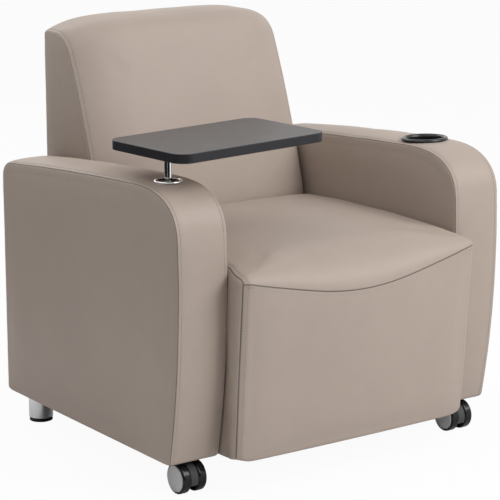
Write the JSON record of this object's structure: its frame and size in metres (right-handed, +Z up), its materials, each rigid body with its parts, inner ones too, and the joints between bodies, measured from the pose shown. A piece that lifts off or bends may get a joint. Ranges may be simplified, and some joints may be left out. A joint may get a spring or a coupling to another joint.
{
  "type": "tablet arm chair",
  "caption": "Upholstered lounge chair with wide arms, a writing tablet that swivels on a post in one arm, a cup holder in the other, front casters and rear legs.",
  "frame": {"origin": "on the floor, under the middle of the chair's width and depth", "axes": "+Z up, the front of the chair faces -Y, +X to the right as seen from the front; the tablet stands on the -X arm and the cup holder in the +X arm"},
  "size_m": [0.775, 0.746, 0.828],
  "materials": {
    "upholstery": "smooth taupe",
    "foam": "cut foam",
    "plywood": "raw plywood",
    "webbing": "woven strap",
    "dust_cloth": "non-woven",
    "steel": "zinc plated",
    "chrome": "polished",
    "nylon": "moulded",
    "black_plastic": "gloss black",
    "tablet_core": "particle board",
    "tablet_top": "dark grey laminate",
    "tablet_edge": "black edge band",
    "hood_plastic": "textured",
    "wheel_tread": "glossy nylon",
    "hub_cap": "satin grey"
  },
  "bodies": {
    "chair": {"left_arm_cover": "upholstery", "right_arm_cover": "upholstery", "seat_cover": "upholstery", "back_cover": "upholstery", "left_arm_foam": "foam", "right_arm_foam": "foam", "seat_foam": "foam", "seat_front_foam": "foam", "back_foam": "foam", "left_arm_outer_panel": "plywood", "left_arm_inner_panel": "plywood", "left_arm_band": "plywood", "right_arm_outer_panel": "plywood", "right_arm_inner_panel": "plywood", "right_arm_band": "plywood", "caster_blocks": "plywood", "seat_front_panel": "plywood", "seat_rear_rail": "plywood", "seat_left_rail": "plywood", "seat_right_rail": "plywood", "seat_corner_blocks": "plywood", "back_frame": "plywood", "socket_block": "plywood", "seat_webbing": "webbing", "back_webbing": "webbing", "dust_cover": "dust_cloth", "seat_bolts": "steel", "back_bolts": "steel", "socket_tube": "steel", "leg_screws": "steel", "left_caster_socket": "steel", "right_caster_socket": "steel", "socket_escutcheon": "chrome", "left_leg": "chrome", "right_leg": "chrome", "socket_bushes": "nylon", "cup_holder": "black_plastic", "left_leg_foot": "black_plastic", "right_leg_foot": "black_plastic"},
    "tablet": {"tablet_board": "tablet_core", "tablet_laminate": "tablet_top", "tablet_edge_band": "tablet_edge", "tablet_plate": "steel", "tablet_post": "chrome", "tablet_screws": "steel"},
    "left_caster": {"left_caster_hood": "hood_plastic", "left_caster_stem": "steel", "left_caster_axle": "steel"},
    "left_outer_wheel": {"left_caster_outer_wheel": "wheel_tread", "left_caster_outer_cap": "hub_cap"},
    "left_inner_wheel": {"left_caster_inner_wheel": "wheel_tread", "left_caster_inner_cap": "hub_cap"},
    "right_caster": {"right_caster_hood": "hood_plastic", "right_caster_stem": "steel", "right_caster_axle": "steel"},
    "right_outer_wheel": {"right_caster_outer_wheel": "wheel_tread", "right_caster_outer_cap": "hub_cap"},
    "right_inner_wheel": {"right_caster_inner_wheel": "wheel_tread", "right_caster_inner_cap": "hub_cap"}
  },
  "joints": [
    {"name": "tablet_swivel", "type": "hinge", "parent": "chair", "child": "tablet", "pos_m": [-0.3295, -0.197, 0.6], "axis": [0, 0, 1], "continuous": true},
    {"name": "left_caster_swivel", "type": "hinge", "parent": "chair", "child": "left_caster", "pos_m": [-0.3295, -0.227, 0.067], "axis": [0, 0, 1], "continuous": true},
    {"name": "left_outer_wheel_roll", "type": "hinge", "parent": "left_caster", "child": "left_outer_wheel", "pos_m": [-0.3295, -0.253, 0.03], "axis": [1, 0, 0], "continuous": true},
    {"name": "left_inner_wheel_roll", "type": "hinge", "parent": "left_caster", "child": "left_inner_wheel", "pos_m": [-0.3295, -0.253, 0.03], "axis": [1, 0, 0], "continuous": true},
    {"name": "right_caster_swivel", "type": "hinge", "parent": "chair", "child": "right_caster", "pos_m": [0.3295, -0.227, 0.067], "axis": [0, 0, 1], "continuous": true},
    {"name": "right_outer_wheel_roll", "type": "hinge", "parent": "right_caster", "child": "right_outer_wheel", "pos_m": [0.3295, -0.253, 0.03], "axis": [1, 0, 0], "continuous": true},
    {"name": "right_inner_wheel_roll", "type": "hinge", "parent": "right_caster", "child": "right_inner_wheel", "pos_m": [0.3295, -0.253, 0.03], "axis": [1, 0, 0], "continuous": true}
  ]
}
